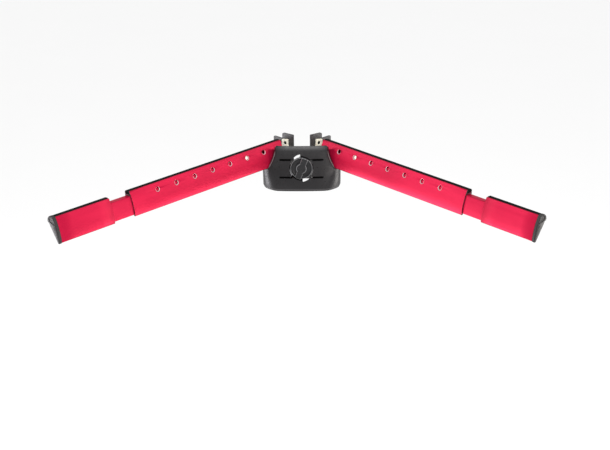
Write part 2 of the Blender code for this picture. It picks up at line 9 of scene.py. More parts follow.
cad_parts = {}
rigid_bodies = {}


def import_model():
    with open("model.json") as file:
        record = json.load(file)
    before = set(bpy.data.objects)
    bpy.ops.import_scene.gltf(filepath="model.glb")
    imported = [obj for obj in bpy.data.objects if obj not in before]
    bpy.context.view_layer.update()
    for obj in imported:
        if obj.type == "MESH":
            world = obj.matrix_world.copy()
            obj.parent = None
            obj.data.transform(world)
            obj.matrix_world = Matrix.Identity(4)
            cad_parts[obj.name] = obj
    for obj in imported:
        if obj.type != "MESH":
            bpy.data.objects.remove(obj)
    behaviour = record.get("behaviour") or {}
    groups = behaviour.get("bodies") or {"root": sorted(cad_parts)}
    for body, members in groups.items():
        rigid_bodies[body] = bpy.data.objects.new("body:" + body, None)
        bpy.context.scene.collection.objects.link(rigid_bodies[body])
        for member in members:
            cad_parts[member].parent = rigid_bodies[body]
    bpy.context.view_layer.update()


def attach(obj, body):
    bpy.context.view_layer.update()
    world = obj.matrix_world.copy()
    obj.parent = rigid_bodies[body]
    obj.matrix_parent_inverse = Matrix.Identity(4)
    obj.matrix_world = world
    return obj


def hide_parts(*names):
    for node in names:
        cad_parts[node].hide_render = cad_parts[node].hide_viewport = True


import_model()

MM = 0.001
SIDES = ((-1, "left"), (1, "right"))

# Arms: each runs ARM_ANGLE forward of X from ARM_ROOT. The pairs are the stations, in millimetres
# along an arm, that a piece lies between.
ARM_ANGLE = math.radians(51.14)
ARM_ROOT = Vector((0.0, 22.0, 48.0)) * MM
ROOT_PAD, ROOT_NECK, ROOT_SPIGOT = (27.7, 30.4), (29.0, 52.0), (48.2, 74.0)
TUBE = (47.6, 371.3)
SLIDE = (150.0, 498.0)
TIP = (409.4, 505.7)
CAP_T = 5.0
HOLE_FIRST, HOLE_PITCH, HOLE_COUNT = 91.6, 38.1, 7
HOLE_R, HOLE_RIM_R = 3.1, 4.1
END_WALL, OUTER_WALL, ARM_FLOOR = (24.8, 27.4), (25.5, 62.0), (25.9, 64.0)
ARM_WAY = (5.0, 130.0)
# Places in an arm's section: the root screw's eye and the bore along the rubber strip.
EYE = (-10.2, -1.3)
BORE_AT, BORE_R, BORE_STEPS = (-9.7, 6.2), 1.2, 14

# Bracket, in millimetres. The knob sits at AXIS and turns about a line along Y through it.
KNOB_Z = 22.4
AXIS = Vector((0.0, -48.0, KNOB_Z))
FRONT = (0, -1, 0)
BACK = (0, 1, 0)
SKIN_T = 3.0
OVAL_X, OVAL_Z, OVAL_NEAR, OVAL_STEPS = 18.6, 21.2, 18.5, 144
SPOKE = (KNOB_Z - 3.5, KNOB_Z + 3.5)
BOSSES = [(x, z) for x in (-31.0, 31.0) for z in (9.4, -5.0)]
BOSS_Y, BOSS_LENGTH = -53.4, 26.2
GRIP_TILT = math.radians(-70.0)
SCALLOP_COUNT, SCALLOP_R, SCALLOP_REACH = 24, 1.25, 18.15

# Half width of the shield beside the arms at three heights, as (height, half width) in metres.
WAIST = ((0.0240, 0.05155), (0.0380, 0.04454), (0.0544, 0.04121))

OBJECT = bpy.data.collections.new("visual")
TOOLS = bpy.data.collections.new("visual_cutters")
bpy.context.scene.collection.children.link(OBJECT)
bpy.context.scene.collection.children.link(TOOLS)


# ---- materials ----
class Nodes:
    """A small wrapper that adds and links shader nodes."""

    def __init__(self, name):
        self.mat = bpy.data.materials.new(name)
        self.mat.use_nodes = True
        self.tree = self.mat.node_tree
        self.shader = self.tree.nodes["Principled BSDF"]

    def add(self, kind, inputs=None, **props):
        node = self.tree.nodes.new(kind)
        for key, value in props.items():
            setattr(node, key, value)
        for key, value in (inputs or {}).items():
            if isinstance(value, bpy.types.NodeSocket):
                self.tree.links.new(value, node.inputs[key])
            else:
                node.inputs[key].default_value = value
        return node

    def coords(self, turn=0.0, scale=(1.0, 1.0, 1.0)):
        place = self.add("ShaderNodeTexCoord").outputs["Object"]
        spin = self.add("ShaderNodeMapping", {"Vector": place, "Rotation": (0.0, 0.0, turn)})
        return self.add("ShaderNodeMapping", {"Vector": spin.outputs[0], "Scale": scale}).outputs[0]

    def noise(self, vector, scale, detail=3.0, rough=0.55):
        return self.add("ShaderNodeTexNoise", {"Vector": vector, "Scale": scale, "Detail": detail,
                                               "Roughness": rough}).outputs["Fac"]

    def span(self, value, low, high, a=0.3, b=0.7):
        return self.add("ShaderNodeMapRange", {"Value": value, "From Min": a, "From Max": b,
                                               "To Min": low, "To Max": high}).outputs[0]

    def ramp(self, value, stops):
        node = self.add("ShaderNodeValToRGB", {"Fac": value})
        band = node.color_ramp
        while len(band.elements) < len(stops):
            band.elements.new(0.5)
        for element, (at, colour) in zip(band.elements, stops):
            element.position = at
            element.color = (*colour, 1.0)
        return node.outputs["Color"]

    def maths(self, kind, *values):
        node = self.add("ShaderNodeMath", {i: value for i, value in enumerate(values)})
        node.operation = kind
        return node.outputs["Value"]

    def band(self, value, low, high, soft):
        """One between low and high, fading to nothing over soft on each side."""
        rise = self.add("ShaderNodeMapRange", {"Value": value, "From Min": low - soft,
                                               "From Max": low + soft}).outputs["Result"]
        fall = self.add("ShaderNodeMapRange", {"Value": value, "From Min": high - soft,
                                               "From Max": high + soft}).outputs["Result"]
        return self.maths("SUBTRACT", rise, fall)

    def mix(self, factor, first, second):
        """Blend of two colours: inputs 6 and 7 and output 2 are the node's colour sockets."""
        node = self.add("ShaderNodeMix")
        node.data_type = "RGBA"
        for key, value in ((0, factor), (6, first), (7, second)):
            if isinstance(value, bpy.types.NodeSocket):
                self.tree.links.new(value, node.inputs[key])
            else:
                node.inputs[key].default_value = value
        return node.outputs[2]

    def bump(self, height, strength, distance, onto=None):
        inputs = {"Height": height, "Strength": strength, "Distance": distance}
        if onto is not None:
            inputs["Normal"] = onto
        return self.add("ShaderNodeBump", inputs).outputs["Normal"]

    def finish(self, colour=None, rough=None, normal=None, **fixed):
        for key, value in (("Base Color", colour), ("Roughness", rough), ("Normal", normal)):
            if isinstance(value, bpy.types.NodeSocket):
                self.tree.links.new(value, self.shader.inputs[key])
            elif value is not None:
                self.shader.inputs[key].default_value = value
        for key, value in fixed.items():
            self.shader.inputs[key.replace("_", " ")].default_value = value
        return self.mat


def anodised(name, side, base=(0.445, 0.0046, 0.038), metal=0.45, rough=0.36):
    """Satin anodised extrusion: faint die lines along the arm and a slow drift in tone."""
    n = Nodes(name)
    turn = side * ARM_ANGLE
    along = n.coords(turn, (6.0, 420.0, 420.0))
    slow = n.coords(turn, (7.0, 22.0, 22.0))
    lines = n.noise(along, 1.6, 4.0)
    drift = n.noise(slow, 1.0, 3.0)
    grain = n.noise(n.coords(turn), 1900.0, 2.0)
    dark = tuple(c * 0.84 for c in base)
    light = tuple(min(1.0, c * 1.12 + 0.004) for c in base)
    colour = n.ramp(drift, [(0.30, dark), (0.52, base), (0.75, light)])
    rough_map = n.span(lines, rough - 0.05, rough + 0.07)
    normal = n.bump(lines, 0.10, 0.00008, n.bump(grain, 0.10, 0.00004))
    return n.finish(colour, rough_map, normal, Metallic=metal, Specular_IOR_Level=0.14)


def bare_metal(name, base, rough=0.30):
    """Plain metal with fine swirls and slow blotches."""
    n = Nodes(name)
    place = n.coords()
    swirl = n.noise(place, 900.0, 4.0)
    blotch = n.noise(place, 120.0, 3.0)
    colour = n.ramp(blotch, [(0.3, tuple(c * 0.82 for c in base)), (0.7, base)])
    return n.finish(colour, n.span(swirl, rough - 0.08, rough + 0.1), n.bump(swirl, 0.12, 0.00005),
                    Metallic=1.0)


def plastic_grain(n, place, size=1500.0):
    """The spark texture, fine grain and slow cloudiness that the moulded plastics share."""
    spark = n.add("ShaderNodeTexVoronoi", {"Vector": place, "Scale": size}).outputs["Distance"]
    return spark, n.noise(place, size * 1.3, 3.0), n.noise(place, 42.0, 4.0)


def moulded(name, base, rough, grain, lift, size=1500.0, shine=0.45):
    """Spark-textured moulded plastic with a faint cloudiness."""
    n = Nodes(name)
    place = n.coords()
    spark, fine, cloud = plastic_grain(n, place, size)
    colour = n.ramp(cloud, [(0.30, base), (0.72, tuple(c * lift for c in base))])
    normal = n.bump(spark, grain, 0.00007, n.bump(fine, grain * 0.6, 0.00004))
    return n.finish(colour, n.span(n.noise(place, 260.0, 3.0), rough - 0.05, rough + 0.07), normal,
                    Specular_IOR_Level=shine)


def lipped(name, base, rough):
    """Moulded plastic with a raised lip beside each arm, a painted highlight on the lip, painted
    shadow in the seam beside it, and painted shade along the foot under a painted highlight line.
    """
    # Bands in metres as (from, to, fade) where light and shade are painted: heights, and distances
    # in from the edge by the arms.
    heights = {"arms": (0.0235, 0.0455, 0.002), "foot_shade": (-0.0200, -0.0122, 0.0003),
               "brow_highlight": (-0.0116, -0.0104, 0.0004)}
    insets = {"lip_highlight": (0.0005, 0.0017, 0.0003), "seam_shadow": (0.0020, 0.0028, 0.0003)}
    # pale is the painted highlight colour, dark the painted shade colour.
    pale, dark = (0.14, 0.135, 0.14, 1.0), (0.002, 0.002, 0.002, 1.0)
    n = Nodes(name)
    place = n.coords()
    spark, fine, cloud = plastic_grain(n, place)
    split = n.add("ShaderNodeSeparateXYZ", {"Vector": place})
    x, z = n.maths("ABSOLUTE", split.outputs["X"]), split.outputs["Z"]
    # The shield's edge beside the arms is a parabola in z through the three WAIST points.
    (z0, w0), (z1, w1), (z2, w2) = WAIST
    lean = (w1 - w0) / (z1 - z0)
    bend = ((w2 - w1) / (z2 - z1) - lean) / (z2 - z0)
    low, high = n.maths("SUBTRACT", z, z0), n.maths("SUBTRACT", z, z1)
    slope = n.maths("ADD", n.maths("MULTIPLY", high, bend), lean)
    gap = n.maths("SUBTRACT", n.maths("ADD", n.maths("MULTIPLY", low, slope), w0), x)
    # The foot band carries painted shade, and the brow band a painted highlight line just above it.
    beside, foot_shade, brow_highlight = (n.band(z, *heights[key]) for key in ("arms", "foot_shade", "brow_highlight"))
    lip_highlight, seam_shadow = (n.maths("MULTIPLY", n.band(gap, *insets[key]), beside) for key in ("lip_highlight", "seam_shadow"))
    plain = n.ramp(cloud, [(0.30, base), (0.72, tuple(c * 1.35 for c in base))])
    # Painted highlight: full on the lip, weaker on the brow line above the foot.
    lit = n.mix(n.maths("ADD", lip_highlight, n.maths("MULTIPLY", brow_highlight, 0.35)), plain, pale)
    # Painted shade: the seam beside the lip and the foot along the bottom.
    colour = n.mix(n.maths("ADD", seam_shadow, foot_shade), lit, dark)
    raised = n.bump(n.maths("SUBTRACT", lip_highlight, seam_shadow), 0.8, 0.0005)
    normal = n.bump(spark, 0.30, 0.00007, n.bump(fine, 0.18, 0.00004, raised))
    return n.finish(colour, n.span(n.noise(place, 260.0, 3.0), rough - 0.05, rough + 0.07), normal,
                    Specular_IOR_Level=0.30)


def rubber(name, side):
    """Matt rubber with fine extrusion lines and a little bloom."""
    n = Nodes(name)
    turn = side * ARM_ANGLE
    lines = n.noise(n.coords(turn, (10.0, 900.0, 900.0)), 1.0, 3.0)
    grain = n.noise(n.coords(turn), 1600.0, 4.0)
    bloom = n.noise(n.coords(turn, (20.0, 60.0, 60.0)), 1.0, 4.0)
    colour = n.ramp(bloom, [(0.3, (0.004, 0.0037, 0.004)), (0.75, (0.011, 0.0105, 0.011))])
    normal = n.bump(lines, 0.35, 0.00012, n.bump(grain, 0.4, 0.00008))
    return n.finish(colour, n.span(grain, 0.74, 0.92), normal, Specular_IOR_Level=0.07)


def nylon(name):
    """Slightly cloudy cream nylon."""
    n = Nodes(name)
    place = n.coords()
    cloud = n.noise(place, 90.0, 4.0)
    grain = n.noise(place, 1400.0, 3.0)
    colour = n.ramp(cloud, [(0.3, (0.98, 0.91, 0.72)), (0.7, (1.0, 0.98, 0.88))])
    return n.finish(colour, n.span(grain, 0.36, 0.50), n.bump(grain, 0.2, 0.00006),
                    Specular_IOR_Level=0.5)


RED = {side: anodised("red_anodised_" + tag, side) for side, tag in SIDES}
RED_SLIDE = {side: anodised("red_slide_" + tag, side, (0.43, 0.0044, 0.037), 0.45, 0.40)
             for side, tag in SIDES}
RUBBER = {side: rubber("rubber_" + tag, side) for side, tag in SIDES}
RIM = bare_metal("bare_aluminium", (0.88, 0.66, 0.68))
END_BLACK = moulded("mouth_edge", (0.010, 0.008, 0.009), 0.55, 0.25, 1.6)
# The shield plastic carries painted highlight and painted shade lines beside the arms and along its
# foot.
SHIELD = lipped("shield_plastic", (0.0086, 0.0078, 0.0086), 0.31)
SADDLE = moulded("saddle_plastic", (0.032, 0.030, 0.031), 0.48, 0.35, 1.4)
KNOB = moulded("knob_plastic", (0.0058, 0.0058, 0.0066), 0.36, 0.18, 1.5, 2100.0, 0.36)
# Lighter knob plastic, used as a painted highlight on the knob's edges.
KNOB_EDGE_HIGHLIGHT = moulded("knob_edge_highlight", (0.11, 0.11, 0.115), 0.30, 0.10, 1.3, 2100.0)
# A darker, duller copy of the grey plastic: painted shade for the slots, the opening's walls and the
# parts behind the face.
INNER_SHADE = moulded("inner_plastic_shade", (0.0032, 0.0029, 0.0032), 0.60, 0.30, 1.6, shine=0.10)
CAPS = moulded("cap_plastic", (0.014, 0.0125, 0.0125), 0.50, 0.30, 1.5, shine=0.30)
NYLON = nylon("cream_nylon")
ZINC = bare_metal("zinc_plate", (0.62, 0.63, 0.65), 0.34)
BLACKED = bare_metal("blackened_steel", (0.035, 0.035, 0.038), 0.42)


# ---- mesh helpers (millimetres in, metres out) ----
def put(name, mesh, mats, cutter=False, sharp=32):
    """Object of a mesh, shaded smooth between edges sharper than sharp. A cutter stays hidden."""
    obj = bpy.data.objects.new(name, mesh)
    if cutter:
        TOOLS.objects.link(obj)
        obj.hide_render = True
        obj.hide_viewport = True
    else:
        OBJECT.objects.link(obj)
    mesh.materials.clear()
    for mat in mats:
        mesh.materials.append(mat)
    for poly in mesh.polygons:
        poly.use_smooth = True
    mesh.set_sharp_from_angle(angle=math.radians(sharp))
    return obj


def to_mesh(bm, scale=MM):
    bmesh.ops.remove_doubles(bm, verts=bm.verts, dist=1e-4)
    bmesh.ops.recalc_face_normals(bm, faces=bm.faces)
    bmesh.ops.scale(bm, vec=(scale,) * 3, verts=bm.verts)
    mesh = bpy.data.meshes.new("piece")
    bm.to_mesh(mesh)
    bm.free()
    return mesh


def spline(points, steps):
    """Catmull-Rom curve through an open run of 2-D points."""
    pts = [Vector(p) for p in points]
    pts = [pts[0] * 2 - pts[1]] + pts + [pts[-1] * 2 - pts[-2]]
    out = []
    for a, b, c, d in zip(pts, pts[1:], pts[2:], pts[3:]):
        for i in range(steps):
            t = i / steps
            out.append(0.5 * (2 * b + (c - a) * t + (2 * a - 5 * b + 4 * c - d) * t * t
                              + (3 * b - a - 3 * c + d) * t ** 3))
    out.append(pts[-2])
    return [(p.x, p.y) for p in out]


def rounded(loop, radius, steps=3):
    """Round the corners of a closed loop; radius is one number or one per point."""
    out = []
    for i, p in enumerate(loop):
        r = radius[i] if isinstance(radius, (list, tuple)) else radius
        p, a, b = Vector(p), Vector(loop[i - 1]), Vector(loop[(i + 1) % len(loop)])
        da, db = a - p, b - p
        reach = min(r, da.length * 0.45, db.length * 0.45)
        if reach < 0.02:
            out.append((p.x, p.y))
            continue
        s, e = p + da.normalized() * reach, p + db.normalized() * reach
        for k in range(steps + 1):
            t = k / steps
            q = s * (1 - t) ** 2 + p * 2 * t * (1 - t) + e * t * t
            out.append((q.x, q.y))
    return out


def shrink(loop, d):
    """Move each corner of a dense closed loop inward by d."""
    area = sum(a[0] * b[1] - b[0] * a[1] for a, b in zip(loop, loop[1:] + loop[:1]))
    turn = 1.0 if area > 0 else -1.0
    out = []
    for i, p in enumerate(loop):
        a, b = Vector(loop[i - 1]), Vector(loop[(i + 1) % len(loop)])
        t = (b - a).normalized()
        out.append((p[0] - t.y * d * turn, p[1] + t.x * d * turn))
    return out


def clip(loop, distance):
    """Shrink a convex loop by moving each of its edges inward."""
    area = sum(a[0] * b[1] - b[0] * a[1] for a, b in zip(loop, loop[1:] + loop[:1]))
    turn = 1.0 if area > 0 else -1.0
    out = [Vector(p) for p in loop]
    for i in range(len(loop)):
        a, b = Vector(loop[i]), Vector(loop[(i + 1) % len(loop)])
        d = (b - a).normalized()
        normal = Vector((-d.y, d.x)) * turn
        depth = [(p - a).dot(normal) - distance for p in out]
        kept = []
        for j, p in enumerate(out):
            q, dp, dq = out[(j + 1) % len(out)], depth[j], depth[(j + 1) % len(out)]
            if dp >= 0:
                kept.append(p)
            if (dp >= 0) != (dq >= 0):
                kept.append(p + (q - p) * (dp / (dp - dq)))
        out = kept
    clean = [p for j, p in enumerate(out) if (p - out[j - 1]).length > 0.05]
    return [(p.x, p.y) for p in clean]


def arm(side):
    """Matrix from an arm's own axes (u, v, s) to the part's, in millimetres."""
    along = Vector((side * math.cos(ARM_ANGLE), -math.sin(ARM_ANGLE), 0.0))
    inward = Vector((-side * math.sin(ARM_ANGLE), -math.cos(ARM_ANGLE), 0.0))
    m = Matrix.Identity(4)
    m.col[0], m.col[1], m.col[2] = (*inward, 0), (0, 0, 1, 0), (*along, 0)
    m.translation = ARM_ROOT / MM
    return m


def arm_at(side, s, u, v):
    """Point at station s of an arm and at (u, v) in its section."""
    return arm(side) @ Vector((u, v, s))


def arm_way(side, u, v, s):
    """Unit direction given along the arm's own axes."""
    return (arm(side).to_3x3() @ Vector((u, v, s))).normalized()


def fill(bm, edges):
    bmesh.ops.triangle_fill(bm, use_beauty=True, use_dissolve=False, edges=edges)


def extrude(side, loops, s0, s1, soft, pieces=1):
    """Prism of an outer loop and holes between s0 and s1, its end edges eased by soft."""
    bm = bmesh.new()
    ends = {0: [], 1: []}
    for index, loop in enumerate(loops):
        # A hole's edges open outward, so its inset is negative.
        ease = soft * (0.6 if index else 1.0)
        inset = -ease if index else ease
        lead = [(s0, inset), (s0 + ease * 0.3, inset * 0.42), (s0 + ease, 0.0)]
        middle = [(s0 + (s1 - s0) * i / pieces, 0.0) for i in range(1, pieces)]
        tail = [(s1 - ease, 0.0), (s1 - ease * 0.3, inset * 0.42), (s1, inset)]
        rows = []
        for s, d in lead + middle + tail:
            ring = shrink(loop, d) if d else loop
            rows.append([bm.verts.new((u, v, s)) for u, v in ring])
        for low, high in zip(rows, rows[1:]):
            for i in range(len(low)):
                j = (i + 1) % len(low)
                bm.faces.new((low[i], low[j], high[j], high[i]))
        for key, row in ((0, rows[0]), (1, rows[-1])):
            ends[key] += [bm.edges.get((row[i], row[(i + 1) % len(row)])) for i in range(len(row))]
    for key in (0, 1):
        fill(bm, ends[key])
    bmesh.ops.transform(bm, matrix=arm(side), verts=bm.verts)
    return to_mesh(bm)


def prism(loop, depth, matrix):
    """Plain prism of one loop, extruded along local +Z by depth, then placed."""
    bm = bmesh.new()
    low = [bm.verts.new((x, y, 0.0)) for x, y in loop]
    high = [bm.verts.new((x, y, depth)) for x, y in loop]
    for i in range(len(loop)):
        j = (i + 1) % len(loop)
        bm.faces.new((low[i], low[j], high[j], high[i]))
    for row in (low, high):
        fill(bm, [bm.edges.get((row[i], row[(i + 1) % len(row)])) for i in range(len(row))])
    bmesh.ops.transform(bm, matrix=matrix, verts=bm.verts)
    return to_mesh(bm)


def chamfered(loop, depth, edge, matrix):
    """Prism of a rounded loop whose far rim is chamfered by edge."""
    bm = bmesh.new()
    rows = [[bm.verts.new((x, y, h)) for x, y in ring]
            for h, ring in ((0.0, loop), (depth - edge, loop), (depth, shrink(loop, edge)))]
    for low, high in zip(rows, rows[1:]):
        for i in range(len(loop)):
            j = (i + 1) % len(loop)
            bm.faces.new((low[i], low[j], high[j], high[i]))
    for row in (rows[0], rows[-1]):
        fill(bm, [bm.edges.get((row[i], row[(i + 1) % len(row)])) for i in range(len(row))])
    bmesh.ops.transform(bm, matrix=matrix, verts=bm.verts)
    return to_mesh(bm)


def arm_prism(side, loop, s0, s1):
    """Plain prism of a section between two stations of an arm."""
    return prism(loop, s1 - s0, arm(side) @ Matrix.Translation((0, 0, s0)))


def face_on(y, z=0.0, way=1):
    """Placing of an outline drawn in X and Z, which starts at y and is extruded along Y by way."""
    return Matrix(((1, 0, 0, 0), (0, 0, way, y), (0, 1, 0, z), (0, 0, 0, 1)))


def facing(origin, axis):
    """Matrix whose local +Z lies along axis, which is never upright."""
    z = Vector(axis).normalized()
    x = Vector((0, 0, 1)).cross(z).normalized()
    m = Matrix.Identity(4)
    m.col[0], m.col[1], m.col[2] = (*x, 0), (*z.cross(x), 0), (*z, 0)
    m.translation = Vector(origin)
    return m


def turned(profile, origin, axis, steps=48):
    """Closed surface of revolution from (radius, height) points."""
    bm = bmesh.new()
    rows = []
    for k in range(steps):
        a = 2 * math.pi * k / steps
        rows.append([bm.verts.new((r * math.cos(a), r * math.sin(a), h)) for r, h in profile])
    for k in range(steps):
        a, b = rows[k], rows[(k + 1) % steps]
        for i in range(len(profile)):
            j = (i + 1) % len(profile)
            if profile[i][0] == 0 and profile[j][0] == 0:
                continue
            bm.faces.new((a[i], a[j], b[j], b[i]))
    bmesh.ops.transform(bm, matrix=facing(origin, axis), verts=bm.verts)
    bmesh.ops.remove_doubles(bm, verts=bm.verts, dist=1e-4)
    bmesh.ops.dissolve_degenerate(bm, edges=bm.edges, dist=1e-5)
    return to_mesh(bm)


def boxed(low, high):
    """Box between two corners."""
    low, high = Vector(low), Vector(high)
    bm = bmesh.new()
    bmesh.ops.create_cube(bm, size=1.0)
    bmesh.ops.transform(bm, verts=bm.verts, matrix=Matrix.Translation((low + high) / 2)
                        @ Matrix.Diagonal((*(high - low), 1.0)))
    return to_mesh(bm)


def gather(meshes):
    """One mesh of several."""
    bm = bmesh.new()
    for mesh in meshes:
        bm.from_mesh(mesh)
    out = bpy.data.meshes.new("group")
    bm.to_mesh(out)
    bm.free()
    return out


def boolean(obj, kind, tool):
    mod = obj.modifiers.new(tool.name, "BOOLEAN")
    mod.operation = kind
    mod.solver = "EXACT"
    mod.object = tool
    mod.material_mode = "TRANSFER"


def cut(obj, name, mesh, mat):
    boolean(obj, "DIFFERENCE", put(name, mesh, [mat], True))


def join(obj, name, mesh, mat):
    boolean(obj, "UNION", put(name, mesh, [mat], True))


def bake(obj):
    """Bake the Boolean modifiers, so that the cutters are no longer needed."""
    bpy.context.view_layer.update()
    done = bpy.data.meshes.new_from_object(obj.evaluated_get(bpy.context.evaluated_depsgraph_get()))
    obj.modifiers.clear()
    old, obj.data = obj.data, done
    bpy.data.meshes.remove(old)
    return obj


def ease(obj, width, segments=3, angle=32.0, paint=-1):
    """Round the edges sharper than angle; paint is their material's index, -1 for the faces' own."""
    bake(obj)
    bm = bmesh.new()
    bm.from_mesh(obj.data)
    bmesh.ops.remove_doubles(bm, verts=bm.verts, dist=0.00002)
    bmesh.ops.dissolve_limit(bm, angle_limit=math.radians(1.5), verts=bm.verts, edges=bm.edges,
                             delimit={"MATERIAL"})
    bm.to_mesh(obj.data)
    bm.free()
    obj.data.shade_smooth()
    mod = obj.modifiers.new("edge", "BEVEL")
    mod.width = width * MM
    mod.segments = segments
    mod.limit_method = "ANGLE"
    mod.angle_limit = math.radians(angle)
    mod.use_clamp_overlap = True
    mod.material = paint
    mod.miter_outer = "MITER_ARC"
    mod.harden_normals = True
    return obj


def crisp(obj, sharp):
    """Bake the cuts and shade smooth between edges sharper than sharp."""
    bake(obj)
    obj.data.shade_smooth()
    obj.data.set_sharp_from_angle(angle=math.radians(sharp))
    return obj


def stands_for(obj, body, slot, *nodes):
    """Tie a finished piece to its body and hide the CAD nodes that it replaces; its material slot is
    not used.
    """
    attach(obj, body)
    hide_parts(*nodes)
    return obj


# ---- arms ----
# Sections as (u, v): u towards the inside of the V, v up.
NEAR = [(-4.8, 8.4), (-4.0, 6.4), (-2.7, 3.3), (-1.4, 0.3), (-0.2, -2.9), (1.0, -6.5),
        (2.1, -10.2), (3.1, -14.0), (3.95, -18.0), (4.55, -21.5), (4.85, -24.2)]
FOOT = [(4.7, -25.6), (4.0, -26.5), (2.9, -26.6), (2.0, -26.0)]
FAR = [(-0.6, -22.0), (-7.2, -11.5), (-12.9, -2.4), (-14.2, 0.2), (-14.6, 2.4)]
RAIL = [(-14.6, 4.4), (-13.5, 4.4), (-13.3, 3.3), (-4.6, 3.3), (-6.3, 8.5), (-5.6, 8.8)]
OUTLINE = (spline(NEAR + FOOT, 3)
           + rounded(FAR + RAIL, [0, 3, 3, 1, 1, 0.25, 0.25, 0.3, 0.3, 0.2, 0.25], 3))
BLADE = ([p for p in NEAR if p[1] <= 3.3] + [(4.1, -26.2), (2.2, -26.3)] + FAR[:-1]
         + [(-14.5, 3.3)])
CAVITY = clip(BLADE, 1.5)
SLIDE_OUT = rounded(clip(BLADE, 1.8), 0.8, 3)
SLIDE_IN = clip(BLADE, 3.2)
PLUG_TUBE = clip(BLADE, 1.8)
STRIP = rounded([(-5.15, 3.7), (-6.5, 7.6), (-6.9, 8.7), (-8.4, 9.25), (-11.9, 9.25),
                 (-13.7, 8.6), (-14.6, 7.4), (-14.6, 4.75), (-13.2, 4.65), (-12.95, 3.7)],
                [0.3, 0.5, 0.8, 0.9, 0.9, 1.2, 0.8, 0.4, 0.2, 0.3], 3)
BORE = [(BORE_AT[0] + BORE_R * math.cos(-a), BORE_AT[1] + BORE_R * math.sin(-a))
        for a in (2 * math.pi * i / BORE_STEPS for i in range(BORE_STEPS))]
CAP = spline([(-5.2, 9.2), (-4.4, 8.4), (-3.5, 6.5), (-2.2, 3.4), (-0.9, 0.4), (0.3, -2.8),
              (1.5, -6.4), (2.6, -10.1), (3.6, -13.9), (4.45, -17.9), (5.05, -21.4), (5.35, -24.2),
              (5.1, -26.0), (4.2, -27.0), (2.8, -27.1), (1.7, -26.3), (-1.1, -22.0),
              (-7.7, -11.4), (-12.4, -3.9), (-13.7, -1.0), (-15.6, -0.4), (-16.7, 1.4),
              (-16.8, 3.8), (-15.9, 6.4), (-13.9, 8.6), (-11.5, 9.7), (-8.0, 9.9)], 3)
PAD = rounded([(-17.2, 3.6), (-5.3, 5.2), (-5.1, -5.0), (3.9, -17.0), (3.9, -24.0), (-5.0, -24.0),
               (-17.2, -9.0)], 0.7, 3)
NECK = clip([p for p in PLUG_TUBE if p[1] < -9.0], 0.4)

for side, tag in SIDES:
    body = tag + "_arm_slide"
    along = arm_way(side, 0.0, 0.0, 1.0)
    tube = put("tube_" + tag, extrude(side, [OUTLINE, CAVITY], *TUBE, 0.35, 12),
               [RED[side], RIM, END_BLACK])
    # The faces at the tube's sawn mouth are dark.
    for poly in tube.data.polygons:
        if all((tube.data.vertices[i].co / MM - ARM_ROOT / MM).dot(along) > TUBE[1] - 0.15
               for i in poly.vertices):
            poly.material_index = 2
    # Locking holes: each one's mouth is eased, which leaves a bright ring of bare aluminium.
    lean = arm_way(side, 1.0, 0.33, 0.0)
    straight = arm_way(side, 1.0, 0.0, 0.0)
    drills, rims = [], []
    for i in range(HOLE_COUNT):
        mouth = arm_at(side, HOLE_FIRST + HOLE_PITCH * i, -1.28, 0.0)
        drills.append(turned([(0, -5.5), (HOLE_R, -5.5), (HOLE_R, 9.0), (0, 9.0)], mouth,
                             straight, 40))
        rims.append(turned([(0, -0.42), (HOLE_R - 0.05, -0.42), (HOLE_RIM_R, 0.03),
                            (HOLE_RIM_R + 0.5, 0.9), (0, 0.9)], mouth, lean, 40))
    cut(tube, "drills_" + tag, gather(drills), RED_SLIDE[side])
    cut(tube, "rims_" + tag, gather(rims), RIM)
    stands_for(crisp(tube, 30), "bracket", "red_anodised", "outer_tube_" + tag)

    strip = put("strip_" + tag, extrude(side, [STRIP, BORE], *TUBE, 0.3, 8), [RUBBER[side]])
    stands_for(strip, "bracket", "black_rubber", "outer_strip_" + tag)

    slide = put("slide_" + tag, extrude(side, [SLIDE_OUT, SLIDE_IN], *SLIDE, 0.3, 12),
                [RED_SLIDE[side]])
    stands_for(slide, body, "red_anodised", "inner_slide_" + tag)
    tip = put("tip_" + tag, extrude(side, [OUTLINE, CAVITY], *TIP, 0.35, 4), [RED[side]])
    stands_for(tip, body, "red_anodised", "end_section_" + tag)
    strip = put("tip_strip_" + tag, extrude(side, [STRIP, BORE], TIP[0], TIP[1] - 0.3, 0.3, 3),
                [RUBBER[side]])
    stands_for(strip, body, "black_rubber", "end_strip_" + tag)

    cap = put("cap_" + tag, extrude(side, [CAP], TIP[1] + 0.1, TIP[1] + CAP_T, 0.9), [CAPS])
    join(cap, "cap_plug_" + tag, arm_prism(side, PLUG_TUBE, SLIDE[1] + 0.6, TIP[1] + 2.0), CAPS)
    # A shallow panel inside the cap's rim.
    cut(cap, "cap_panel_" + tag, arm_prism(side, clip(CAP[::3], 2.0), TIP[1] + CAP_T - 0.6,
                                           TIP[1] + CAP_T + 2.0), CAPS)
    stands_for(crisp(cap, 30), body, "cap_plastic", "end_cap_" + tag)

    # Root block: pad, neck and spigot, with a sunk hole for its screw.
    block = put("root_" + tag, arm_prism(side, PAD, *ROOT_PAD), [NYLON])
    bore = turned([(0, -9), (1.7, -9), (1.7, 9), (0, 9)], arm_at(side, 28, *EYE), along, 32)
    sink = turned([(0, 0), (2.6, 0), (2.75, 1.3), (3.3, 1.9), (0, 1.9)],
                  arm_at(side, 28.8, *EYE), along, 32)
    join(block, "neck_" + tag, arm_prism(side, NECK, *ROOT_NECK), NYLON)
    join(block, "spigot_" + tag, arm_prism(side, PLUG_TUBE, *ROOT_SPIGOT), NYLON)
    cut(block, "bore_" + tag, bore, NYLON)
    cut(block, "sink_" + tag, sink, NYLON)
    stands_for(ease(block, 0.3, 2, 40.0), "bracket", "cream_nylon", "root_block_" + tag)


